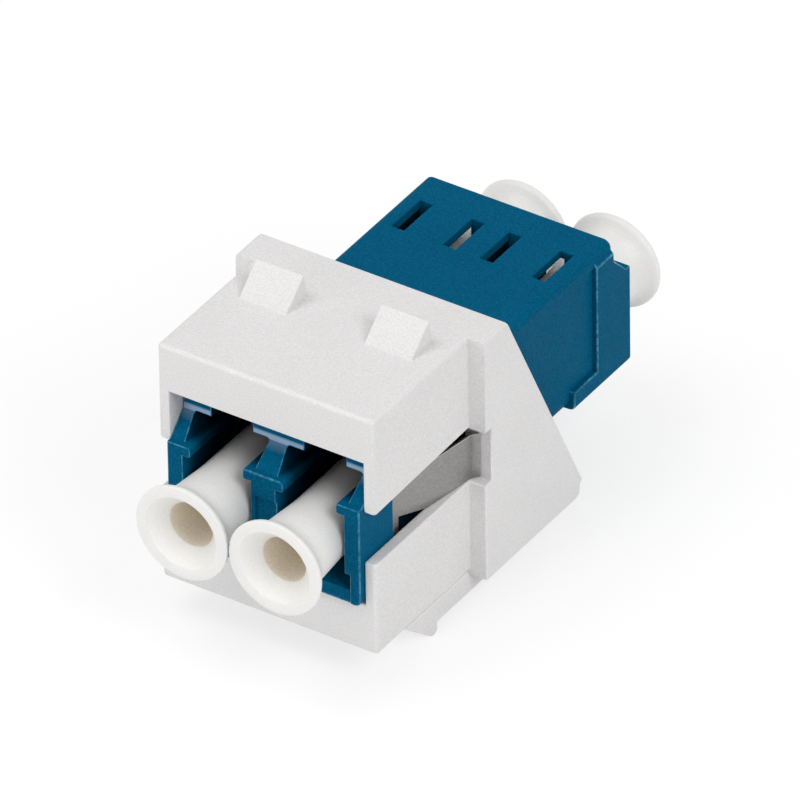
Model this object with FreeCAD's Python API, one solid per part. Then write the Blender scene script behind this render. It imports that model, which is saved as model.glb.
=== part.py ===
"""Duplex LC fibre adapter held in a snap-in keystone holder, with its four dust caps.

Frame: +X to the right seen from the front, +Y from the front ports to the rear ports, +Z up.
The origin is the centre of the holder's front face. All sizes are in millimetres.
"""
import FreeCAD, Part
import math
import os

V = FreeCAD.Vector

# --- keystone holder: snap-in nose -------------------------------------------------
nose_width = 14.5
nose_height = 16.1
nose_depth = 9.65            # front face to the shoulder that seats behind the panel
nose_edge_radius = 0.25
opening_width = 12.96
opening_height = 9.75
opening_sill = 3.25          # nose underside to the floor of the opening
window_sill = 6.24           # nose underside to the lower edge of the side windows
window_height = 3.42
window_rise = 0.2            # the upper edge of the window climbs this much to the shoulder

# --- keystone holder: rear body ----------------------------------------------------
body_width = 16.7
body_drop = 0.33             # how far the rear body reaches below the nose
body_top_depth = 2.45        # shoulder to the top rear edge
body_foot_depth = 10.05      # shoulder to the foot of the sloping rear face
foot_height = 1.0            # foot of the slope above the nose underside, less the heel
heel_inset = 0.25
heel_radius = 0.45
body_edge_radius = 0.25
wing_recess_depth = 0.7      # pocket in the shoulder for the tips of the spring wings
retaining_wall = 1.6         # wall between the wing pocket and the adapter's stop ears
ear_pocket_width = 14.7

# --- keystone holder: panel lugs and latch tongue ----------------------------------
lug_width = 3.2
lug_spacing = 8.4
lug_height = 1.72
lug_length = 2.23
lug_draft = 0.28
lug_front = 6.07             # front face to the foot of the lug's ramp
lug_edge_radius = 0.1
tongue_inset = 0.15          # side of the nose to the side of the tongue
tongue_width = nose_width - 2 * tongue_inset
tongue_gap = 0.16
tongue_thickness = 1.5
tongue_front = 3.1           # front face to the tip of the tongue
tongue_root_length = 3.0
hook_depth = 0.72
hook_rear = 6.45             # front face to the hook's locking face
hook_land = 0.55
hook_radius = 0.38

# --- adapter -----------------------------------------------------------------------
port_pitch = 6.25
port_height = 7.0            # fibre axis above the nose underside
adapter_length = 28.24
adapter_overhang = 0.43      # how far the adapter stands out of the holder's front face
adapter_fit = 0.05           # clearance under the adapter in the holder's opening
clip_headroom = 0.4          # room over the adapter for the bridge of the spring clip
shell_height = opening_height - adapter_fit - clip_headroom
collar_fit = 0.03            # clearance at each side of the collar in the opening
collar_width = opening_width - 2 * collar_fit
roof_step = 0.2              # the collar stands this much proud of the roof's sides
roof_width = collar_width - 2 * roof_step
roof_lip = 0.15              # the roof stands this much proud of the recessed sides
shell_width = roof_width - 2 * roof_lip
roof_side = 0.87             # height of the roof's upright side with its rounded edge
collar_length = 3.49
collar_top_drop = 0.6        # collar top below the shell top
collar_chamfer = 0.2
skirt_length = 2.45
skirt_height = 1.3
shell_top_radius = 0.5
shell_bottom_radius = 0.9
roof_setback = 1.68          # port face back to the front edge of the roof
roof_thickness = 1.3
latch_slot_width = 2.75
latch_slot_rise = 0.7
latch_channel_width = 4.7    # at the rails; the channel widens towards the roof
latch_channel_top_width = 5.05
rail_thickness = 0.7
rail_gap = 3.7
rail_nose = 0.4
rail_radius = 0.18           # on the long edges of the rails
neck_radius_top = 0.2        # where the necks run into the roof
stem_step = 0.15             # shallow step in the front of the centre wall
stem_step_drop = 0.85        # rail underside to the top of the step
stem_step_inset = 0.3        # from the left side of the wall
port_width = 4.54
plug_height = 4.42
plug_fit = 0.05
relief_width = 5.24
relief_depth = 3.2
relief_floor_drop = 0.55
relief_height = 1.1
latch_window_width = 0.87
latch_window_length = 3.05
latch_window_spacing = 3.5
latch_window_inset = 0.125   # each pair sits this much nearer the centre wall than its port
latch_ear_width = 4.4        # room under the windows for the ears of the latch
latch_window_setback = 2.3   # roof edge to the window
floor_setback = 0.25
mid_web = 1.2
ear_fit = 0.15               # clearance at each side of the ears in their pocket
ear_width = ear_pocket_width - 2 * ear_fit
ear_length = 1.6
ear_height = 6.0
ear_bite = 0.5               # how far the ears reach into the sides of the shell

# --- alignment sleeves and their barrels -------------------------------------------
sleeve_bore_radius = 0.625
sleeve_wall = 0.19
sleeve_length = 6.7
sleeve_slit = 0.25
sleeve_fit = 0.045
sleeve_end_play = 0.05
barrel_wall = 0.46
barrel_lip = 0.5
barrel_lip_reach = 0.13
barrel_mouth_flare = 0.2     # the barrel's mouth is a cone, this much wider at its rim

# --- spring clip -------------------------------------------------------------------
strip = 0.2
clip_fit = 0.02
band_width = 2.4
notch_play = 0.1             # the bridge's seat is this much longer than the bridge at its rear
leg_width = 0.68             # the wing starts behind this much of the leg
leg_shoulder = 2.6           # fibre axis up to where the bridge narrows to its legs
leg_reach = 1.5              # fibre axis down to the end of a leg
wing_clearance = 0.05        # window sill to the lower edge of the wing
wing_headroom = 0.37         # upper edge of the wing to the top of the window
wing_tip_height = window_height - wing_clearance - wing_headroom
wing_centre = window_sill + wing_clearance + wing_tip_height / 2 - port_height
wing_tip_gap = 0.1           # wing tip to the floor of its pocket in the shoulder
wing_spread = 0.93
wing_root_height = 1.6
wing_taper = 2.4
tip_length = 0.42
tip_spread = 0.35

# --- dust caps ---------------------------------------------------------------------
rim_gap = 0.13               # between the rims of neighbouring caps
rim_radius = (port_pitch - rim_gap) / 2
rim_lip = 0.3
rim_face = 0.72
flare_length = 1.15
flare_waist = 0.5            # the flare bends here
flare_waist_radius = 2.5
stem_fit = 0.16              # clearance round the stem in the narrower way of the port
stem_radius = min(port_width, plug_height) / 2 - stem_fit
stem_taper = 0.22            # the stem grows this much towards the flare
neck_radius = stem_radius + stem_taper
stem_taper_length = 2.9
cap_overhang = 3.64          # port face to the outer face of the rim
bell_depth = 1.05
bell_radius = 1.45
pull_bore_radius = 1.43
pull_bore_depth = 5.5
cap_fit = 0.06
cap_seat_gap = 0.05
cap_sleeve_cover = 1.1       # how far the stem reaches over the barrel
stem_chamfer = 0.3

# --- construction ------------------------------------------------------------------
over = 1.0                   # cutters reach this far past what they cut
near = 0.01                  # places closer than this count as one

# --- derived places ----------------------------------------------------------------
base = -nose_height / 2
nose_top = nose_height / 2
body_bottom = base - body_drop
opening_floor = base + opening_sill
opening_top = opening_floor + opening_height
axis_z = base + port_height
adapter_front = -adapter_overhang
adapter_middle = adapter_front + adapter_length / 2
shell_floor = opening_floor + adapter_fit
shell_top = shell_floor + shell_height
roof_front = adapter_front + roof_setback
roof_underside = shell_top - roof_thickness
rail_bottom = axis_z + plug_height / 2 + plug_fit
rail_top = rail_bottom + rail_thickness
port_floor = axis_z - plug_height / 2 - plug_fit
relief_floor = port_floor - relief_floor_drop
ear_front = nose_depth + wing_recess_depth + retaining_wall
sleeve_radius = sleeve_bore_radius + sleeve_wall
seat_radius = sleeve_radius + sleeve_fit
barrel_radius = seat_radius + barrel_wall
seat_end = adapter_middle - sleeve_length / 2 - sleeve_end_play
barrel_end = seat_end - barrel_lip
lip_radius = sleeve_radius - barrel_lip_reach
band_front = adapter_front + collar_length + clip_fit
wing_root_y = band_front + leg_width
wing_end = nose_depth + wing_recess_depth - wing_tip_gap


def block(x0, x1, y0, y1, z0, z1):
    """Box between two opposite corners."""
    return Part.makeBox(x1 - x0, y1 - y0, z1 - z0, V(x0, y0, z0))


def centred_block(width, y0, y1, z0, z1, x=0.0):
    """Box centred on x."""
    return block(x - width / 2, x + width / 2, y0, y1, z0, z1)


def side_prism(points, width, x=0.0):
    """Prism of a Y-Z outline, centred on x."""
    outline = [V(x - width / 2, y, z) for y, z in points]
    face = Part.Face(Part.makePolygon(outline + outline[:1]))
    return face.extrude(V(width, 0, 0))


def along(edge, direction):
    """True for a straight edge that runs along the given axis."""
    if not isinstance(edge.Curve, (Part.Line, Part.LineSegment)):
        return False
    run = edge.Vertexes[-1].Point - edge.Vertexes[0].Point
    return abs(run.normalize().dot(direction)) > 0.999


def front_prism(points, y0, y1, x=0.0):
    """Prism along Y of an X-Z outline given from its centre line."""
    outline = [V(x + dx, y0, z) for dx, z in points]
    face = Part.Face(Part.makePolygon(outline + outline[:1]))
    return face.extrude(V(0, y1 - y0, 0))


def rounded(solid, radius, wanted):
    """Solid with the wanted edges filleted."""
    edges = [edge for edge in solid.Edges if wanted(edge)]
    return solid.makeFillet(radius, edges)


def mirrored_x(shape):
    return shape.mirror(V(0, 0, 0), V(1, 0, 0))


def mirrored_y(shape, y):
    return shape.mirror(V(0, y, 0), V(0, 1, 0))


def cylinder(radius, y0, y1, x, z):
    """Cylinder along Y."""
    return Part.makeCylinder(radius, y1 - y0, V(x, y0, z), V(0, 1, 0))


# --- keystone holder ---------------------------------------------------------------
def holder_nose():
    nose = centred_block(nose_width, 0, nose_depth + body_top_depth / 2, base, nose_top)

    def outer(edge):
        return along(edge, V(0, 1, 0)) or edge.CenterOfMass.y < nose_edge_radius

    return rounded(nose, nose_edge_radius, outer)


def holder_rear_body():
    foot = nose_depth + body_foot_depth
    heel = foot - heel_inset
    foot_z = body_bottom + foot_height
    outline = [
        (nose_depth, body_bottom),
        (nose_depth, nose_top),
        (nose_depth + body_top_depth, nose_top),
        (foot, foot_z),
        (heel, foot_z - heel_inset),
        (heel, body_bottom),
    ]
    body = side_prism(outline, body_width)

    def heel_edge(edge):
        centre = edge.CenterOfMass
        low = centre.z < body_bottom + near
        return along(edge, V(1, 0, 0)) and abs(centre.y - heel) < near and low

    def top_edge(edge):
        centre = edge.CenterOfMass
        return centre.z > nose_top - near and abs(centre.x) > nose_width / 2

    body = rounded(body, heel_radius, heel_edge)
    return rounded(body, body_edge_radius, top_edge)


def panel_lug(x):
    """Wedge that snaps behind the upper edge of the panel cut-out."""
    rear = lug_front + lug_length
    outline = [
        (lug_front, nose_top),
        (rear - lug_draft, nose_top + lug_height),
        (rear, nose_top),
        (rear, nose_top - nose_edge_radius),
        (lug_front, nose_top - nose_edge_radius),
    ]
    lug = side_prism(outline, lug_width, x)

    def crest(edge):
        return edge.BoundBox.ZMax > nose_top + lug_height - near

    return rounded(lug, lug_edge_radius, crest)


def latch_tongue():
    """Flexible tongue under the nose, rooted in the rear body, with a ramped hook."""
    top = base - tongue_gap
    bottom = top - tongue_thickness
    root_end = nose_depth + tongue_root_length
    hook_front = hook_rear - hook_land
    outline = [
        (tongue_front, top),
        (nose_depth, top),
        (nose_depth, body_bottom),
        (root_end + tongue_thickness, body_bottom),
        (root_end, bottom),
        (hook_rear, bottom),
        (hook_rear, bottom - hook_depth),
        (hook_front, bottom - hook_depth),
    ]
    tongue = side_prism(outline, tongue_width)

    def hook_edge(edge):
        centre = edge.CenterOfMass
        return along(edge, V(1, 0, 0)) and centre.z < bottom - hook_depth + near

    tongue = rounded(tongue, hook_radius, hook_edge)
    root = centred_block(tongue_width, nose_depth, root_end, body_bottom, body_bottom + body_drop)
    return tongue.fuse(root)


def side_window():
    """Cut through both side walls, open at the front, ending in a pocket in the shoulder."""
    sill = base + window_sill
    top = sill + window_height
    outline = [
        (-over, sill),
        (nose_depth, sill),
        (nose_depth, top + window_rise),
        (0, top),
        (-over, top),
    ]
    slot = side_prism(outline, nose_width + over)
    pocket = centred_block(
        body_width + over, nose_depth, nose_depth + wing_recess_depth, sill, top + window_rise)
    return slot.fuse(pocket)


def keystone_holder():
    holder = holder_nose().fuse(holder_rear_body())
    for x in (-lug_spacing / 2, lug_spacing / 2):
        holder = holder.fuse(panel_lug(x))
    holder = holder.fuse(latch_tongue())
    opening = centred_block(opening_width, -over, ear_front, opening_floor, opening_top)
    rear = nose_depth + body_foot_depth + over
    ear_pocket = centred_block(ear_pocket_width, ear_front, rear, opening_floor, opening_top)
    return holder.cut(opening).cut(ear_pocket).cut(side_window()).removeSplitter()


# --- adapter shells ----------------------------------------------------------------
def shell_body():
    """Outside of the front half, without ports."""
    core = centred_block(shell_width, adapter_front + rail_nose, adapter_middle, shell_floor, shell_top)

    def long_top(edge):
        return along(edge, V(0, 1, 0)) and edge.CenterOfMass.z > axis_z

    def long_bottom(edge):
        return along(edge, V(0, 1, 0)) and edge.CenterOfMass.z < axis_z

    def roof_edge(edge):
        return long_top(edge) and edge.CenterOfMass.z > shell_top - near

    core = rounded(core, shell_top_radius, long_top)
    core = rounded(core, shell_bottom_radius, long_bottom)
    roof = centred_block(
        roof_width, adapter_front + rail_nose, adapter_middle, shell_top - roof_side, shell_top)
    roof = rounded(roof, shell_top_radius, roof_edge)
    collar_end = adapter_front + collar_length
    collar_top = shell_top - collar_top_drop
    collar = centred_block(collar_width, adapter_front, collar_end, shell_floor, collar_top)
    collar = collar.makeChamfer(collar_chamfer, [edge for edge in collar.Edges if long_top(edge)])
    skirt = centred_block(
        collar_width, collar_end, collar_end + skirt_length, shell_floor, shell_floor + skirt_height)
    return core.fuse([roof, collar, skirt])


def port_front_cut():
    """Clears the space above the rails in front of the roof, leaving sloping necks."""
    slope_top = rail_top + roof_setback - rail_nose
    outline = [
        (adapter_front - over, rail_top),
        (adapter_front + rail_nose, rail_top),
        (roof_front, slope_top),
        (roof_front, shell_top + over),
        (adapter_front - over, shell_top + over),
    ]
    return side_prism(outline, collar_width + over)


def port_cavity(x):
    """Space for one plug and its latch, from the port face to the middle web."""
    start = adapter_front - over
    end = adapter_middle - mid_web / 2
    plug = centred_block(port_width, start, end, port_floor, rail_bottom, x)
    between_rails = centred_block(rail_gap, start, end, rail_bottom, rail_top, x)
    low = latch_channel_width / 2
    high = latch_channel_top_width / 2
    channel_outline = [
        (-low, rail_top),
        (low, rail_top),
        (high, roof_underside),
        (-high, roof_underside),
    ]

    def channel_top(edge):
        return edge.BoundBox.ZMin > roof_underside - near and along(edge, V(0, 1, 0))

    channel = rounded(front_prism(channel_outline, start, end, x), neck_radius_top, channel_top)
    slot = centred_block(
        latch_slot_width, start, end, roof_underside, roof_underside + latch_slot_rise, x)
    relief = centred_block(
        relief_width, start, adapter_front + relief_depth, relief_floor, relief_floor + relief_height, x)
    cavity = plug.fuse([between_rails, channel, slot, relief])
    return cavity.cut(barrel(x))


def barrel(x):
    """Tube that holds one end of an alignment sleeve; drilled later."""
    return cylinder(barrel_radius, barrel_end, adapter_middle, x, axis_z)


def barrel_bore(x):
    seat = cylinder(seat_radius, seat_end, adapter_middle + over, x, axis_z)
    mouth = Part.makeCone(
        lip_radius + barrel_mouth_flare, lip_radius, seat_end - barrel_end,
        V(x, barrel_end, axis_z), V(0, 1, 0))
    return seat.fuse(mouth)


def latch_windows(x):
    """Two slots through the roof where the ears of a plug's latch snap in."""
    start = roof_front + latch_window_setback
    end = start + latch_window_length
    middle = x - math.copysign(latch_window_inset, x)
    cuts = []
    for side in (-1, 1):
        centre = middle + side * latch_window_spacing / 2
        cuts.append(centred_block(
            latch_window_width, start, end, rail_top, shell_top + over, centre))
    ear_room = centred_block(
        latch_ear_width, start, end, rail_top, roof_underside + latch_slot_rise, middle)
    return ear_room.fuse(cuts)


def stem_cut():
    """Steps the end of the centre wall back, from the floor to a little below the rails."""
    wall = port_pitch - port_width
    return block(
        stem_step_inset - wall / 2, wall / 2, adapter_front - over, adapter_front + stem_step,
        relief_floor, rail_bottom - stem_step_drop)


def adapter_half():
    half = shell_body().cut(port_front_cut())
    for x in (-port_pitch / 2, port_pitch / 2):
        half = half.cut(port_cavity(x)).cut(latch_windows(x)).cut(barrel_bore(x))
    sills = centred_block(
        port_pitch + relief_width, adapter_front - over, adapter_front + floor_setback,
        shell_floor - over, relief_floor + near)
    half = half.cut(sills).cut(stem_cut())

    def rail_edge(edge):
        centre = edge.CenterOfMass
        beside = abs(abs(abs(centre.x) - port_pitch / 2) - rail_gap / 2) < near
        height = min(abs(centre.z - rail_top), abs(centre.z - rail_bottom))
        return along(edge, V(0, 1, 0)) and beside and height < near

    return rounded(half, rail_radius, rail_edge)


def stop_ears():
    """Shoulders on the sides that bear against the back of the holder's retaining wall."""
    z0 = axis_z + wing_centre - ear_height / 2
    ears = centred_block(ear_width, ear_front, ear_front + ear_length, z0, z0 + ear_height)
    inside = centred_block(
        shell_width - 2 * ear_bite, ear_front - over, ear_front + ear_length + over,
        z0 - over, z0 + ear_height + over)
    return ears.cut(inside)


def clip_notch():
    """Seat across the edges of the roof for the bridge of the spring clip."""
    start = adapter_front + collar_length
    end = band_front + band_width + notch_play
    notch = centred_block(
        collar_width + over, start, end, shell_top - roof_side - near, shell_top + over)
    core = centred_block(shell_width, start - over, end + over, shell_floor, shell_top)

    def long_top(edge):
        return along(edge, V(0, 1, 0)) and edge.CenterOfMass.z > axis_z

    return notch.cut(rounded(core, shell_top_radius, long_top))


def adapter_front_shell():
    return adapter_half().cut(clip_notch()).fuse(stop_ears()).removeSplitter()


def adapter_rear_shell():
    return mirrored_y(adapter_half().removeSplitter(), adapter_middle)


# --- alignment sleeve --------------------------------------------------------------
def alignment_sleeve(x):
    start = adapter_middle - sleeve_length / 2
    end = adapter_middle + sleeve_length / 2
    tube = cylinder(sleeve_radius, start, end, x, axis_z)
    bore = cylinder(sleeve_bore_radius, start - over, end + over, x, axis_z)
    slit = centred_block(sleeve_slit, start - over, end + over, axis_z, axis_z + 2 * sleeve_radius, x)
    return tube.cut(bore).cut(slit)


# --- spring clip -------------------------------------------------------------------
def clip_leg_x():
    return shell_width / 2 + clip_fit


def clip_band():
    """Bridge over the top of the adapter, narrowing to a leg down each side."""
    end = band_front + band_width
    bottom = axis_z - leg_reach
    inner_x = clip_leg_x()
    inner_top = shell_top + clip_fit
    outer = centred_block(2 * (inner_x + strip), band_front, end, bottom, inner_top + strip)
    inner = centred_block(2 * inner_x, band_front - over, end + over, bottom - over, inner_top)

    def top_corner(edge):
        return along(edge, V(0, 1, 0)) and edge.CenterOfMass.z > axis_z

    outer = rounded(outer, shell_top_radius + strip, top_corner)
    inner = rounded(inner, shell_top_radius, top_corner)
    behind_legs = centred_block(
        collar_width + over, wing_root_y, end + over, bottom - over, axis_z + leg_shoulder)
    return outer.cut(inner).cut(behind_legs)


def wing_outline():
    """Y-Z outline of a wing, widening from its root and parallel to its tip."""
    middle = axis_z + wing_centre
    return [
        (wing_root_y, middle - wing_root_height / 2),
        (wing_root_y, middle + wing_root_height / 2),
        (wing_root_y + wing_taper, middle + wing_tip_height / 2),
        (wing_end, middle + wing_tip_height / 2),
        (wing_end, middle - wing_tip_height / 2),
        (wing_root_y + wing_taper, middle - wing_tip_height / 2),
    ]


def clip_wing():
    """Wing that flares out from its root and ends in an outward-turned tip."""
    tip_y = wing_end - tip_length
    x0 = clip_leg_x()
    slope = math.atan2(wing_spread, tip_y - wing_root_y)
    tip_slope = math.atan2(tip_spread, tip_length)
    lean = strip / math.cos(slope)
    tip_lean = strip / math.cos(tip_slope)
    bend_x = x0 + wing_spread + strip
    end_x = bend_x + tip_spread
    path = [
        (wing_root_y, x0, x0 + strip),
        (tip_y, bend_x - lean, bend_x),
        (wing_end, end_x - tip_lean, end_x),
    ]
    z0 = axis_z + wing_centre - wing_tip_height
    points = [V(outer, y, z0) for y, inner, outer in path]
    points += [V(inner, y, z0) for y, inner, outer in reversed(path)]
    sheet = Part.Face(Part.makePolygon(points + points[:1])).extrude(V(0, 0, 2 * wing_tip_height))
    trim = side_prism(wing_outline(), 2 * (wing_spread + tip_spread + 2 * strip), x0 + strip)
    return sheet.common(trim)


def spring_clip():
    wing = clip_wing()
    return clip_band().fuse([wing, mirrored_x(wing)]).removeSplitter()


# --- dust cap ----------------------------------------------------------------------
def cap_profile():
    """Half section as radius and distance from the outer face of the rim."""
    stem_end = cap_overhang + (barrel_end - adapter_front) + cap_sleeve_cover
    sleeve_bore = barrel_radius + cap_fit
    sleeve_floor = stem_end - cap_sleeve_cover - cap_seat_gap
    corner = rim_radius - rim_face
    taper_end = rim_lip + flare_length + stem_taper_length

    def p(radius, depth):
        return V(radius, depth, 0)

    outline = [
        p(0, pull_bore_depth),
        p(pull_bore_radius, pull_bore_depth),
        p(bell_radius, bell_depth),
        p(corner, 0),
        p(rim_radius, 0),
        p(rim_radius, rim_lip),
        p(flare_waist_radius, rim_lip + flare_waist),
        p(neck_radius, rim_lip + flare_length),
        p(stem_radius, taper_end),
        p(stem_radius, stem_end - stem_chamfer),
        p(stem_radius - stem_chamfer, stem_end),
        p(sleeve_bore, stem_end),
        p(sleeve_bore, sleeve_floor),
        p(0, sleeve_floor),
    ]
    return Part.Face(Part.makePolygon(outline + outline[:1]))


def dust_cap(x):
    """Cap in a front port."""
    cap = cap_profile().revolve(V(0, 0, 0), V(0, 1, 0))
    cap.translate(V(x, adapter_front - cap_overhang, axis_z))
    return cap


def main():
    left = -port_pitch / 2
    right = port_pitch / 2
    pieces = {
        "keystone_holder": keystone_holder(),
        "adapter_front_shell": adapter_front_shell(),
        "adapter_rear_shell": adapter_rear_shell(),
        "alignment_sleeve_left": alignment_sleeve(left),
        "alignment_sleeve_right": alignment_sleeve(right),
        "spring_clip": spring_clip(),
        "dust_cap_front_left": dust_cap(left),
        "dust_cap_front_right": dust_cap(right),
        "dust_cap_rear_left": mirrored_y(dust_cap(left), adapter_middle),
        "dust_cap_rear_right": mirrored_y(dust_cap(right), adapter_middle),
    }
    os.makedirs("parts", exist_ok=True)
    for name, shape in pieces.items():
        print(name, len(shape.Solids), shape.isValid(), round(shape.Volume, 3))
        shape.exportStep(os.path.join("parts", name + ".step"))


main()
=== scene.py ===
import math

import bmesh
import bpy
from mathutils import Matrix, Vector


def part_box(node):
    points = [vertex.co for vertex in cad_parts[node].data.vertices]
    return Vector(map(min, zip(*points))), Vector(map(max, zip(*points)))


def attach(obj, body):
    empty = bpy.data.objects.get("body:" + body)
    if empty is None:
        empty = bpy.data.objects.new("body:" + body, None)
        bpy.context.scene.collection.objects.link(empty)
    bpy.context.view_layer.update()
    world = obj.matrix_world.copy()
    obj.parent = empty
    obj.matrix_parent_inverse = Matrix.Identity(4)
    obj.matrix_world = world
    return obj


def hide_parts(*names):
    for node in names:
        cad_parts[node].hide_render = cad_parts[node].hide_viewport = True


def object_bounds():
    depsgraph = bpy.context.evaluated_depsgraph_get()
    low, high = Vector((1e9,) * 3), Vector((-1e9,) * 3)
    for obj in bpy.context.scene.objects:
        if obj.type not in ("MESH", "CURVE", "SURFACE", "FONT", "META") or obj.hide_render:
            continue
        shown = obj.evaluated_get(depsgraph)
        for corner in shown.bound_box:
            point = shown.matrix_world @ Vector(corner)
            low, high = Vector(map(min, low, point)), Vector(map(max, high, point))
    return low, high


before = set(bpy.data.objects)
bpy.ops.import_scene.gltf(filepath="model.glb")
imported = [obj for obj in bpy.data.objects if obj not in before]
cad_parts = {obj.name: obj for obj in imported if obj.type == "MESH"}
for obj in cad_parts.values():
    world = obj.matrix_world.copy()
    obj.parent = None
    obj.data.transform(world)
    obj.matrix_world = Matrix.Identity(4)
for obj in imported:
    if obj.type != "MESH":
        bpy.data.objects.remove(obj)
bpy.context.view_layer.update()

MM = 0.001
NEAR = 0.02 * MM             # how close a vertex must be to the place it is looked for at
PLACE_DIGITS = 9             # decimals of a metre by which places are told apart

# camera
VIEW_AZIMUTH = math.radians(33.62)
VIEW_ELEVATION = math.radians(35.55)
VIEW_ROLL = -0.01595         # radians
VIEWPOINT = Vector((461.829, -680.969, 594.703)) * MM
VIEW_RANGE = (0.05, 50.0)
LENS = 814.3                 # mm, in front of a sensor 36 mm wide
SENSOR = 36.0

# studio
LAMP_TARGET = Vector((0.0, 0.012, 0.0))
LAMPS = (                    # name, place, size, watts
    ("key", (-0.14, -0.10, 0.43), (0.26, 0.26), 0.62),
    ("front", (-0.20, -0.40, 0.06), (0.25, 0.20), 0.42),
    ("side", (0.38, -0.12, 0.37), (0.25, 0.25), 1.02))
SURROUND = 0.50              # strength of the white world
FLOOR_SIZE = 6.0
FLOOR_GREY = 0.90
FLOOR_ROUGHNESS = 0.9
FLOOR_GLOW = 0.62            # share of the floor that shows as plain white
FLOOR_WHITE = 1.10

# surfaces: a scale is in cells per metre, and a range is the part of the noise that is used
DRIFT = 260.0
DRIFT_RANGE = (0.35, 0.65)
SPECKLE_TO_GRAIN = 1.2
SPECKLE_RANGE = (0.30, 0.70)
# patches that break up the edge colours, the painted highlight on the edges included
EDGE_PATCHES = 3200.0
EDGE_PATCH_RANGE = (0.42, 0.62)
GLOSS = 900.0
GLOSS_RANGE = (0.3, 0.7)
GRAIN_HEIGHT = 0.02 * MM
HOLDER_GRAIN = 8000.0
ADAPTER_GRAIN = 7000.0
CAP_GRAIN = 8000.0
STEEL_GRAIN = 9000.0
STEEL_GRAIN_HEIGHT = 0.004 * MM
STREAK_RANGE = (0.30, 0.70)
STREAK_STRETCH = (1.0, 0.4, 1.0)
EDGE_IOR = 1.5
TINTED_IOR = 1.25
GLOW_RADIUS = (1.0, 0.8, 0.6)

# rounded edges: the first three are multiples of the round's width
ROOM_BESIDE = 2.5            # each face beside a rounded edge is at least this wide
SHORT_EDGE = 2.2             # a shorter edge is rounded only as part of a run of edges
SHORT_NEIGHBOUR = 1.3        # an edge that meets a shorter sharp edge stays sharp
RUNS_ON = -0.7               # cosine below which one edge carries on from another at a vertex
PARTED = 0.75                # cosine below which two faces at a corner are shaded apart
SHARP_ANGLE = math.radians(25.0)
FLAT_ANGLE = math.radians(0.6)
CAD_MERGE = 0.0005 * MM
ROUND_SEGMENTS = 2
HOLDER_ROUND = 0.11 * MM
ADAPTER_ROUND = 0.08 * MM
CLIP_ROUND = 0.03 * MM

# shares of a face's normal that lie along one axis
SQUARE_ON = 0.95
PARTLY = 0.5
HARDLY = 0.1

# adapter shells
ROOF_SETBACK = 1.68 * MM
ROOF_THICKNESS = 1.30 * MM
ROOF_EDGE_ZONE = 0.05 * MM
PORT_PITCH = 6.25 * MM
PORT_HALF = 2.66 * MM
PORT_FLOOR = 0.9 * MM
PORT_CEILING = 0.55 * MM
RAIL_GAP = 3.70 * MM
RAIL_THICKNESS = 0.70 * MM
RAIL_REACH = 0.09 * MM
RAIL_ZONE = 0.3 * MM
AXIS_TO_RAIL_TOP = 2.96 * MM
COLLAR_LENGTH = 3.49 * MM
COLLAR_WIDTH = 12.9 * MM
COLLAR_CORNER = 0.40 * MM
COLLAR_SEGMENTS = 6
SILL_SETBACK = 0.25 * MM
SILL_REACH = 0.13 * MM
WINDOW_TO_SIDE = 1.0 * MM
WINDOW_TO_ROOF_END = 0.4 * MM
WINDOW_RIM = 0.1 * MM

# dust caps: depths are from the rim's face
CAP_SEGMENTS = 96
CAP_EASE_STEPS = 6
CAP_MERGE = 0.001 * MM
CAP_EDGE_ZONE = 0.05 * MM
CAP_FACE = 0.72 * MM
CAP_LIP = 0.30 * MM
CAP_BELL_DEPTH = 1.05 * MM
CAP_BORE_RADIUS = 1.44 * MM
CAP_BORE_DEPTH = 5.5 * MM
CAP_WAIST_RADIUS = 2.50 * MM
CAP_WAIST_DEPTH = 0.80 * MM
CAP_NECK_RADIUS = 2.27 * MM
CAP_NECK_DEPTH = 1.45 * MM
CAP_STEM_RADIUS = 2.05 * MM
CAP_STEM_DEPTH = 4.35 * MM
CAP_CHAMFER = 0.3 * MM
CAP_SLEEVE_RADIUS = 1.38 * MM
CAP_SLEEVE_DEPTH = 1.15 * MM

# colours, each as the two ends of its slow drift
HOLDER = ((0.764, 0.754, 0.752), (0.778, 0.768, 0.766))
ADAPTER = ((0.0012, 0.095, 0.192), (0.0016, 0.101, 0.202))
CAP = ((0.860, 0.850, 0.832), (0.872, 0.862, 0.844))
BORE = ((0.925, 0.850, 0.725), (0.940, 0.870, 0.745))
STEEL = ((0.24, 0.235, 0.23), (0.37, 0.36, 0.35))
SHEARED = ((0.55, 0.54, 0.52), (0.78, 0.77, 0.75))

# colours of the rounded edges, each with the least and the most that shows of it
# worn white edge, lightened by a painted highlight
HOLDER_EDGE_WEAR_AND_HIGHLIGHT = ((0.83, 0.82, 0.82), 0.4, 1.0)
# painted highlight on the blue edges
ADAPTER_EDGE_HIGHLIGHT = ((0.075, 0.270, 0.420), 0.05, 0.9)
CAP_WEAR = ((0.82, 0.81, 0.79), 0.4, 1.0)

BLUE_SHINE = (0.15, 0.60, 0.90)
# painted highlight: pale blue on the roof's front edge and the necks below it
ROOF_EDGE_HIGHLIGHT = (0.40, 0.55, 0.75)

# places in a piece's list of materials
FACES, EDGES, THIRD = 0, 1, 2

# places taken from the frame
PORT_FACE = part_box("adapter_front_shell")[0][1]
REAR_PORT_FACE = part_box("adapter_rear_shell")[1][1]
ROOF_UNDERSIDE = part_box("adapter_front_shell")[1][2] - ROOF_THICKNESS
AXIS_HEIGHT = sum(corner[2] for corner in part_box("dust_cap_front_left")) / 2


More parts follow.
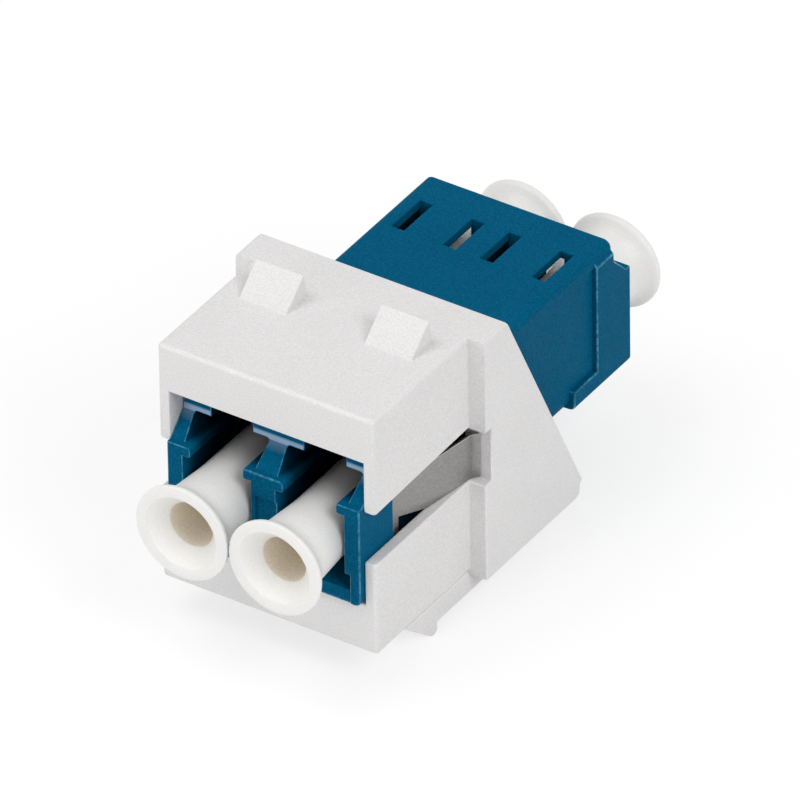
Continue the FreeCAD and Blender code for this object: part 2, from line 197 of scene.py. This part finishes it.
def add_camera():
    """Camera at the photograph's viewing angle, far away with a long lens."""
    over_floor = math.cos(VIEW_ELEVATION)
    back = Vector((
        math.sin(VIEW_AZIMUTH) * over_floor, -math.cos(VIEW_AZIMUTH) * over_floor,
        math.sin(VIEW_ELEVATION)))
    side = Vector((math.cos(VIEW_AZIMUTH), math.sin(VIEW_AZIMUTH), 0.0))
    up = back.cross(side)
    right = side * math.cos(VIEW_ROLL) + up * math.sin(VIEW_ROLL)
    true_up = up * math.cos(VIEW_ROLL) - side * math.sin(VIEW_ROLL)
    turn = Matrix((right, true_up, back)).transposed().to_4x4()
    data = bpy.data.cameras.new("camera")
    data.lens = LENS
    data.sensor_width = SENSOR
    data.clip_start, data.clip_end = VIEW_RANGE
    camera = bpy.data.objects.new("camera", data)
    camera.matrix_world = Matrix.Translation(VIEWPOINT) @ turn
    bpy.context.collection.objects.link(camera)
    bpy.context.scene.camera = camera


def add_lights():
    for name, place, size, power in LAMPS:
        data = bpy.data.lights.new(name, "AREA")
        data.shape = "RECTANGLE"
        data.size, data.size_y = size
        data.energy = power
        lamp = bpy.data.objects.new(name, data)
        lamp.location = place
        lamp.rotation_euler = (LAMP_TARGET - Vector(place)).to_track_quat("-Z", "Y").to_euler()
        bpy.context.collection.objects.link(lamp)


def new_material(name):
    material = bpy.data.materials.new(name)
    material.use_nodes = True
    tree = material.node_tree
    return material, tree, tree.nodes["Principled BSDF"]


def noise(tree, scale, detail=4.0, roughness=0.55, stretch=None):
    """Noise in the part's own space, in metres."""
    coords = tree.nodes.new("ShaderNodeTexCoord")
    mapping = tree.nodes.new("ShaderNodeMapping")
    if stretch:
        mapping.inputs["Scale"].default_value = stretch
    texture = tree.nodes.new("ShaderNodeTexNoise")
    texture.inputs["Scale"].default_value = scale
    texture.inputs["Detail"].default_value = detail
    texture.inputs["Roughness"].default_value = roughness
    tree.links.new(coords.outputs["Object"], mapping.inputs["Vector"])
    tree.links.new(mapping.outputs["Vector"], texture.inputs["Vector"])
    return texture.outputs["Fac"]


def ramp(tree, value, limits, first, second):
    """Colour that runs from first to second as value goes from one limit to the other."""
    node = tree.nodes.new("ShaderNodeValToRGB")
    for element, limit, colour in zip(node.color_ramp.elements, limits, (first, second)):
        element.position = limit
        element.color = (*colour, 1.0)
    tree.links.new(value, node.inputs["Fac"])
    return node.outputs["Color"]


def spread(tree, value, limits, low, high):
    """Number that runs from low to high as value goes from one limit to the other."""
    node = tree.nodes.new("ShaderNodeMapRange")
    node.inputs["From Min"].default_value, node.inputs["From Max"].default_value = limits
    node.inputs["To Min"].default_value = low
    node.inputs["To Max"].default_value = high
    tree.links.new(value, node.inputs["Value"])
    return node.outputs["Result"]


def arithmetic(tree, kind, first, second):
    node = tree.nodes.new("ShaderNodeMath")
    node.operation = kind
    for place, value in zip(node.inputs, (first, second)):
        if isinstance(value, float):
            place.default_value = value
        else:
            tree.links.new(value, place)
    return node.outputs[0]


def mix(tree, kind, factor, first, second):
    """Mix of two colours; the factor and the colours are either sockets or plain values."""
    node = tree.nodes.new("ShaderNodeMix")
    node.data_type = "RGBA"
    node.blend_type = kind
    for socket, value in (("Factor_Float", factor), ("A_Color", first), ("B_Color", second)):
        place = next(s for s in node.inputs if s.identifier == socket)
        if hasattr(value, "is_output"):
            tree.links.new(value, place)
        elif socket == "Factor_Float":
            place.default_value = value
        else:
            place.default_value = (*value, 1.0)
    return next(s for s in node.outputs if s.identifier == "Result_Color")


def bump(tree, shader, height, distance):
    node = tree.nodes.new("ShaderNodeBump")
    node.inputs["Distance"].default_value = distance
    tree.links.new(height, node.inputs["Height"])
    tree.links.new(node.outputs["Normal"], shader.inputs["Normal"])


def band(tree, axis, stops):
    """Grey that follows one axis of the part's space, through (place, value) stops."""
    coords = tree.nodes.new("ShaderNodeTexCoord")
    parts = tree.nodes.new("ShaderNodeSeparateXYZ")
    tree.links.new(coords.outputs["Object"], parts.inputs[0])
    first, last = stops[0][0], stops[-1][0]
    steps = tree.nodes.new("ShaderNodeValToRGB")
    while len(steps.color_ramp.elements) < len(stops):
        steps.color_ramp.elements.new(0.5)
    for element, (place, value) in zip(steps.color_ramp.elements, stops):
        element.position = (place - first) / (last - first)
        element.color = (value, value, value, 1.0)
    tree.links.new(spread(tree, parts.outputs[axis], (first, last), 0.0, 1.0), steps.inputs["Fac"])
    return steps.outputs["Color"]


def from_both_ends(*stops):
    """Stops for band(): each pair is a depth in mm inside the port faces, and the value there."""
    front = [(PORT_FACE + depth * MM, value) for depth, value in stops]
    rear = [(REAR_PORT_FACE - depth * MM, value) for depth, value in reversed(stops)]
    return front + rear


def moulded(name, colours, rough, grain, speckle, level=0.5, tint=None, wear_and_highlight=None, painted_highlight=None,
            painted_shade=None, glow=0.0):
    """Moulded plastic: slow colour drift, fine speckle, uneven gloss and a spark-eroded grain.

    With an edge colour it is the rounded edge of that plastic, broken up into patches of that colour:
    worn on the cap, a painted highlight on the adapter, and worn with a painted highlight on the holder.
    With a band of heights it takes a paler blue there as a painted highlight, and with a band along y it
    is painted darker in the ports and along the cap stems, as painted shade.
    With glow, light spreads a little way under the surface.
    """
    material, tree, shader = new_material(name)
    colour = ramp(tree, noise(tree, DRIFT), DRIFT_RANGE, *colours)
    greys = [(1.0 + sign * speckle,) * 3 for sign in (-1, 1)]
    speckles = noise(tree, grain * SPECKLE_TO_GRAIN, detail=2.0)
    colour = mix(tree, "MULTIPLY", 1.0, colour, ramp(tree, speckles, SPECKLE_RANGE, *greys))
    if wear_and_highlight:
        # edge colour: a painted highlight on the adapter, worn and painted highlight on the holder, worn
        # on the cap
        edge_paint, least, most = wear_and_highlight
        patches = ramp(tree, noise(tree, EDGE_PATCHES, detail=3.0), EDGE_PATCH_RANGE, (least,) * 3, (most,) * 3)
        colour = mix(tree, "MIX", patches, colour, edge_paint)
    if painted_highlight:
        # painted highlight: paler blue within a band of heights
        colour = mix(tree, "MIX", band(tree, "Z", painted_highlight), colour, ROOF_EDGE_HIGHLIGHT)
    if painted_shade:
        # painted shade: darker along y, deeper inside the ports
        colour = mix(tree, "MULTIPLY", 1.0, colour, band(tree, "Y", painted_shade))
    tree.links.new(colour, shader.inputs["Base Color"])
    tree.links.new(spread(tree, noise(tree, GLOSS), GLOSS_RANGE, *rough), shader.inputs["Roughness"])
    bump(tree, shader, noise(tree, grain, detail=2.0), GRAIN_HEIGHT)
    shader.inputs["Specular IOR Level"].default_value = level
    if tint:
        shader.inputs["Specular Tint"].default_value = (*tint, 1.0)
        shader.inputs["IOR"].default_value = EDGE_IOR if wear_and_highlight else TINTED_IOR
    if glow:
        shader.inputs["Subsurface Weight"].default_value = glow
        shader.inputs["Subsurface Radius"].default_value = GLOW_RADIUS
        shader.inputs["Subsurface Scale"].default_value = MM
    return material


def brushed_steel(name, colours, rough):
    """Rolled strip: a fine matt grain, slightly drawn out along its length."""
    material, tree, shader = new_material(name)
    streaks = noise(tree, STEEL_GRAIN, roughness=0.7, stretch=STREAK_STRETCH)
    tree.links.new(ramp(tree, streaks, STREAK_RANGE, *colours), shader.inputs["Base Color"])
    tree.links.new(spread(tree, streaks, STREAK_RANGE, *rough), shader.inputs["Roughness"])
    bump(tree, shader, streaks, STEEL_GRAIN_HEIGHT)
    shader.inputs["Metallic"].default_value = 1.0
    return material


def roomy(edge, width):
    """True where both faces beside an edge are wide enough to take a round of this width."""
    start = edge.verts[0].co
    along = (edge.verts[1].co - start).normalized()
    for face in edge.link_faces:
        offsets = (vert.co - start for vert in face.verts)
        reach = max((offset - along * offset.dot(along)).length for offset in offsets)
        if reach < ROOM_BESIDE * width:
            return False
    return True


def flows(edge, vert, others):
    """True where another of the edges carries on from this end without a sharp turn."""
    along = (edge.other_vert(vert).co - vert.co).normalized()
    for other in vert.link_edges:
        if other != edge and other in others:
            onward = (other.other_vert(vert).co - vert.co).normalized()
            if along.dot(onward) < RUNS_ON:
                return True
    return False


def edges_to_round(sharp, width):
    """Outer edges that can be rounded without running into a short edge that stays sharp."""
    chosen = {edge for edge in sharp if edge.is_convex and roomy(edge, width)}
    while True:
        dropped = set()
        for edge in chosen:
            short = edge.calc_length() < SHORT_EDGE * width
            beside = (other for vert in edge.verts for other in vert.link_edges if other not in chosen)
            if short and not all(flows(edge, vert, chosen) for vert in edge.verts):
                dropped.add(edge)
            elif any(other.calc_length() < SHORT_NEIGHBOUR * width for other in beside):
                dropped.add(edge)
        if not dropped:
            return chosen
        chosen -= dropped


def part_corners(work):
    """Keeps the shading of faces apart at a corner where a rounded edge runs out between them."""
    for vert in work.verts:
        normals = [face.normal for face in vert.link_faces if face.material_index == FACES]
        if any(a.dot(b) < PARTED for a in normals for b in normals):
            for edge in vert.link_edges:
                if len({face.material_index for face in edge.link_faces}) == 2:
                    edge.smooth = False


def ease_port_face(work, low, high, outward):
    """Brings the sills of the ports forward and rounds the collar's lower corners."""
    port_face = low[1] if outward < 0 else high[1]
    for vert in work.verts:
        if abs(vert.co.y - port_face + outward * SILL_SETBACK) < NEAR:
            vert.co.y += outward * SILL_REACH
    at_corner = {
        vert for vert in work.verts
        if abs(abs(vert.co.x) - COLLAR_WIDTH / 2) < NEAR and vert.co.z < low[2] + NEAR}
    corners = [edge for edge in work.edges if at_corner.issuperset(edge.verts)]
    bmesh.ops.bevel(
        work, geom=corners, offset=COLLAR_CORNER, offset_type="OFFSET", segments=COLLAR_SEGMENTS,
        profile=0.5, affect="EDGES", clamp_overlap=False)


def put_in_order(work):
    """Gives the vertices, edges and faces an order that is the same in each run."""
    def place(part):
        verts = getattr(part, "verts", (part,))
        return [round(sum(vert.co[axis] for vert in verts), PLACE_DIGITS) for axis in range(3)]

    for parts in (work.verts, work.edges, work.faces):
        rank = {part: index for index, part in enumerate(sorted(parts, key=place))}
        parts.sort(key=rank.get)


def fresh_piece(node, work):
    """Object with the finished shape that takes the place of a CAD node's."""
    put_in_order(work)
    mesh = bpy.data.meshes.new(node + "_fine")
    work.to_mesh(mesh)
    work.free()
    piece = bpy.data.objects.new(node + "_fine", mesh)
    bpy.context.collection.objects.link(piece)
    normals = piece.modifiers.new("normals", "WEIGHTED_NORMAL")
    normals.keep_sharp = True
    return piece


def refined(node, width, outward):
    """A CAD node's shape with its outer edges rounded; the rounds use the second material."""
    work = bmesh.new()
    work.from_mesh(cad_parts[node].data)
    bmesh.ops.remove_doubles(work, verts=work.verts, dist=CAD_MERGE)
    bmesh.ops.dissolve_limit(
        work, angle_limit=FLAT_ANGLE, verts=work.verts, edges=work.edges, delimit={"NORMAL"})
    if outward:
        ease_port_face(work, *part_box(node), outward)
    sharp = {
        edge for edge in work.edges
        if len(edge.link_faces) == 2 and edge.calc_face_angle(0.0) > SHARP_ANGLE}
    rounded = edges_to_round(sharp, width)
    for face in work.faces:
        face.smooth = True
        face.material_index = FACES
    for edge in work.edges:
        edge.smooth = edge not in sharp or edge in rounded
    bmesh.ops.bevel(
        work, geom=list(rounded), offset=width, offset_type="OFFSET", segments=ROUND_SEGMENTS,
        profile=0.5, affect="EDGES", clamp_overlap=False, material=EDGES)
    part_corners(work)
    return fresh_piece(node, work)


def widen_rails(piece, top):
    """Brings the rails of each port a little closer together, up to their real gap."""
    for vert in piece.data.vertices:
        across = abs(vert.co.x) - PORT_PITCH / 2
        on_rail = abs(abs(across) - RAIL_GAP / 2) < RAIL_ZONE
        if on_rail and top - RAIL_THICKNESS - NEAR < vert.co.z < top + NEAR:
            vert.co.x -= math.copysign(RAIL_REACH, vert.co.x) * math.copysign(1.0, across)


def paint_port_shade(piece, low, high, outward):
    """Gives the last material, painted shade, to what lies inside the ports and, on the front shell, in
    the holder.
    """
    last = len(piece.data.materials) - 1
    for face in piece.data.polygons:
        place = face.center
        beside_axis = abs(abs(place.x) - PORT_PITCH / 2) < PORT_HALF
        between = low[2] + PORT_FLOOR < place.z < high[2] - PORT_CEILING
        in_port = beside_axis and between and abs(face.normal.y) < PARTLY
        in_holder = outward < 0 and low[1] + COLLAR_LENGTH < place.y < high[1]
        # these faces take the painted shade
        if in_port or in_holder:
            face.material_index = last


def plain_windows(piece, low, high):
    """Gives the rims of the windows in the roof the material of its faces, so they show no painted edge
    highlight.
    """
    to_end = ROOF_SETBACK + WINDOW_TO_ROOF_END
    for face in piece.data.polygons:
        place = face.center
        off_side = abs(place.x) < high[0] - WINDOW_TO_SIDE
        if off_side and low[1] + to_end < place.y < high[1] - to_end and place.z > high[2] - WINDOW_RIM:
            face.material_index = FACES


def mark_painted_highlight(piece, port_face):
    """Gives the third material, a painted highlight, to the roof's front edge and to the sloping necks
    below it.
    """
    roof_edge = port_face + ROOF_SETBACK
    for face in piece.data.polygons:
        x, y, z = face.normal
        sloping = y < -PARTLY and z > PARTLY and abs(x) < HARDLY
        neck = sloping and port_face < face.center.y < roof_edge
        if neck or (y < -SQUARE_ON and abs(face.center.y - roof_edge) < ROOF_EDGE_ZONE):
            face.material_index = THIRD


def dress(piece, node, body, materials):
    """Puts a piece in place of a CAD node, with its materials."""
    for material in materials:
        piece.data.materials.append(material)
    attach(piece, body)
    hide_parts(node)


def softened(corners):
    """Outline whose corners are eased by a curve that starts and ends the given length from each."""
    outline = []
    for index, (radius, depth, ease) in enumerate(corners):
        corner = Vector((radius, depth))
        if ease == 0.0:
            outline.append(corner)
            continue
        before = Vector(corners[index - 1][:2])
        after = Vector(corners[index + 1][:2])
        start = corner + (before - corner).normalized() * ease
        end = corner + (after - corner).normalized() * ease
        for step in range(CAP_EASE_STEPS + 1):
            t = step / CAP_EASE_STEPS
            outline.append(start * (1 - t) ** 2 + corner * 2 * t * (1 - t) + end * t ** 2)
    return outline


def dust_cap(node, outward):
    """Turned cap in the place of a CAD cap: flat rim, funnel, pull bore, flared neck and hollow stem."""
    low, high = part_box(node)
    rim = (high[0] - low[0]) / 2
    length = high[1] - low[1]
    rim_face = low[1] if outward < 0 else high[1]
    centre = Vector(((low[0] + high[0]) / 2, rim_face, (low[2] + high[2]) / 2))
    corners = [              # radius, depth, ease
        (0.0, CAP_BORE_DEPTH, 0.0),
        (CAP_BORE_RADIUS, CAP_BORE_DEPTH, 0.25 * MM),
        (CAP_BORE_RADIUS, CAP_BELL_DEPTH, 0.06 * MM),
        (rim - CAP_FACE, 0.0, 0.07 * MM),
        (rim, 0.0, 0.07 * MM),
        (rim, CAP_LIP, 0.2 * MM),
        (CAP_WAIST_RADIUS, CAP_WAIST_DEPTH, 0.45 * MM),
        (CAP_NECK_RADIUS, CAP_NECK_DEPTH, 0.22 * MM),
        (CAP_STEM_RADIUS, CAP_STEM_DEPTH, 0.6 * MM),
        (CAP_STEM_RADIUS, length - CAP_CHAMFER, 0.0),
        (CAP_STEM_RADIUS - CAP_CHAMFER, length, 0.0),
        (CAP_SLEEVE_RADIUS, length, 0.05 * MM),
        (CAP_SLEEVE_RADIUS, length - CAP_SLEEVE_DEPTH, 0.1 * MM),
        (0.0, length - CAP_SLEEVE_DEPTH, 0.0),
    ]
    work = bmesh.new()
    outline = [work.verts.new((radius, -outward * depth, 0.0)) for radius, depth in softened(corners)]
    edges = [work.edges.new(pair) for pair in zip(outline, outline[1:])]
    bmesh.ops.spin(
        work, geom=outline + edges, cent=(0.0, 0.0, 0.0), axis=(0.0, 1.0, 0.0),
        angle=math.tau, steps=CAP_SEGMENTS, use_duplicate=False)
    bmesh.ops.remove_doubles(work, verts=work.verts, dist=CAP_MERGE)
    bmesh.ops.recalc_face_normals(work, faces=work.faces)
    for face in work.faces:
        face.smooth = True
        middle = face.calc_center_median()
        depth = -outward * middle.y
        radius = math.hypot(middle.x, middle.z)
        if radius < CAP_BORE_RADIUS + NEAR and CAP_BELL_DEPTH < depth < CAP_BORE_DEPTH + NEAR:
            face.material_index = THIRD
        elif abs(radius - rim + CAP_FACE) < CAP_EDGE_ZONE and depth < CAP_EDGE_ZONE:
            face.material_index = EDGES
    bmesh.ops.translate(work, vec=centre, verts=work.verts)
    return fresh_piece(node, work)


def paint(material, *nodes):
    """Gives a material to CAD nodes that keep their shape."""
    for node in nodes:
        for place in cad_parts[node].material_slots:
            place.material = material


def add_floor():
    """White studio sheet: it keeps the object's soft shadow, and is white to the camera and in gloss."""
    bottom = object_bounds()[0][2]
    bpy.ops.mesh.primitive_plane_add(size=FLOOR_SIZE, location=(0.0, 0.0, bottom))
    floor = bpy.context.object
    floor.name = "floor"
    material, tree, shader = new_material("floor")
    shader.inputs["Base Color"].default_value = (FLOOR_GREY, FLOOR_GREY, FLOOR_GREY, 1.0)
    shader.inputs["Roughness"].default_value = FLOOR_ROUGHNESS
    shader.inputs["Specular IOR Level"].default_value = 0.0
    glow = tree.nodes.new("ShaderNodeEmission")
    glow.inputs["Strength"].default_value = FLOOR_WHITE
    path = tree.nodes.new("ShaderNodeLightPath")
    seen = path.outputs["Is Camera Ray"]
    for ray in ("Is Glossy Ray", "Is Transmission Ray"):
        seen = arithmetic(tree, "ADD", seen, path.outputs[ray])
    blend = tree.nodes.new("ShaderNodeMixShader")
    tree.links.new(arithmetic(tree, "MULTIPLY", seen, FLOOR_GLOW), blend.inputs["Fac"])
    tree.links.new(shader.outputs["BSDF"], blend.inputs[1])
    tree.links.new(glow.outputs["Emission"], blend.inputs[2])
    tree.links.new(blend.outputs["Shader"], tree.nodes["Material Output"].inputs["Surface"])
    floor.data.materials.append(material)


def add_world():
    world = bpy.data.worlds.new("studio")
    bpy.context.scene.world = world
    world.use_nodes = True
    background = world.node_tree.nodes["Background"]
    background.inputs["Color"].default_value = (1.0, 1.0, 1.0, 1.0)
    background.inputs["Strength"].default_value = SURROUND


# painted highlight: how much pale blue shows at each height around the roof's underside
highlight_band = [(ROOF_UNDERSIDE + height * MM, value) for height, value in (
    (-0.50, 0.0), (-0.05, 0.30), (0.00, 0.80), (0.28, 0.80), (0.45, 0.0))]
# painted shade: darker deeper inside the ports
port_shade = from_both_ends((0.3, 1.0), (1.3, 0.30), (3.0, 0.12))
# painted shade on the cap stems: darker deeper inside the ports
stem_shade = from_both_ends((-1.5, 1.0), (2.0, 0.78))

holder = [
    moulded("holder_plastic", HOLDER, rough=(0.50, 0.62), grain=HOLDER_GRAIN, speckle=0.08, level=0.3),
    moulded("holder_edge", HOLDER, rough=(0.52, 0.64), grain=HOLDER_GRAIN, speckle=0.08, level=0.4,
            wear_and_highlight=HOLDER_EDGE_WEAR_AND_HIGHLIGHT)]
adapter = [
    moulded("adapter_plastic", ADAPTER, rough=(0.38, 0.50), grain=ADAPTER_GRAIN, speckle=0.26,
            level=0.05, tint=BLUE_SHINE),
    moulded("adapter_edge", ADAPTER, rough=(0.26, 0.38), grain=ADAPTER_GRAIN, speckle=0.20,
            level=0.7, tint=BLUE_SHINE, wear_and_highlight=ADAPTER_EDGE_HIGHLIGHT)]
# painted highlight for the roof's front edge and the necks
highlighted = moulded(
    "adapter_painted_highlight", ADAPTER, rough=(0.38, 0.50), grain=ADAPTER_GRAIN, speckle=0.20,
    level=0.05, tint=BLUE_SHINE, painted_highlight=highlight_band)
# painted shade for the inside of the ports and the side faces within the holder
port_shade_material = moulded(
    "adapter_painted_shade", ADAPTER, rough=(0.40, 0.52), grain=ADAPTER_GRAIN, speckle=0.20,
    level=0.02, tint=BLUE_SHINE, painted_shade=port_shade)
cap = [
    moulded("cap_plastic", CAP, rough=(0.40, 0.48), grain=CAP_GRAIN, speckle=0.03, painted_shade=stem_shade,
            glow=0.3),
    moulded("cap_edge", CAP, rough=(0.40, 0.48), grain=CAP_GRAIN, speckle=0.03, wear_and_highlight=CAP_WEAR,
            glow=0.3),
    moulded("cap_bore", BORE, rough=(0.45, 0.55), grain=CAP_GRAIN, speckle=0.10)]
steel = [
    brushed_steel("spring_steel", STEEL, rough=(0.34, 0.44)),
    brushed_steel("sheared_edge", SHEARED, rough=(0.20, 0.30))]
zirconia = moulded("zirconia", CAP, rough=(0.2, 0.3), grain=CAP_GRAIN, speckle=0.02)

# outward is the way a piece's ports face along y: -1, 1, or 0 for a piece without ports
for node, materials, slot, width, outward in (
        ("keystone_holder", holder, "holder_plastic", HOLDER_ROUND, 0),
        ("adapter_front_shell", adapter + [highlighted, port_shade_material], "adapter_plastic", ADAPTER_ROUND, -1),
        ("adapter_rear_shell", adapter + [port_shade_material], "adapter_plastic", ADAPTER_ROUND, 1),
        ("spring_clip", steel, "spring_steel", CLIP_ROUND, 0)):
    piece = refined(node, width, outward)
    dress(piece, node, "adapter_assembly", materials)
    if outward:
        widen_rails(piece, AXIS_HEIGHT + AXIS_TO_RAIL_TOP)
        paint_port_shade(piece, *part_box(node), outward)
        plain_windows(piece, *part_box(node))
    if highlighted in materials:
        mark_painted_highlight(piece, PORT_FACE)
for end, outward in (("front", -1), ("rear", 1)):
    for side in ("left", "right"):
        node = "dust_cap_%s_%s" % (end, side)
        dress(dust_cap(node, outward), node, "cap_%s_%s" % (end, side), cap)
paint(zirconia, "alignment_sleeve_left", "alignment_sleeve_right")

add_floor()
add_world()
add_camera()
add_lights()
bpy.context.scene.view_settings.view_transform = "Standard"
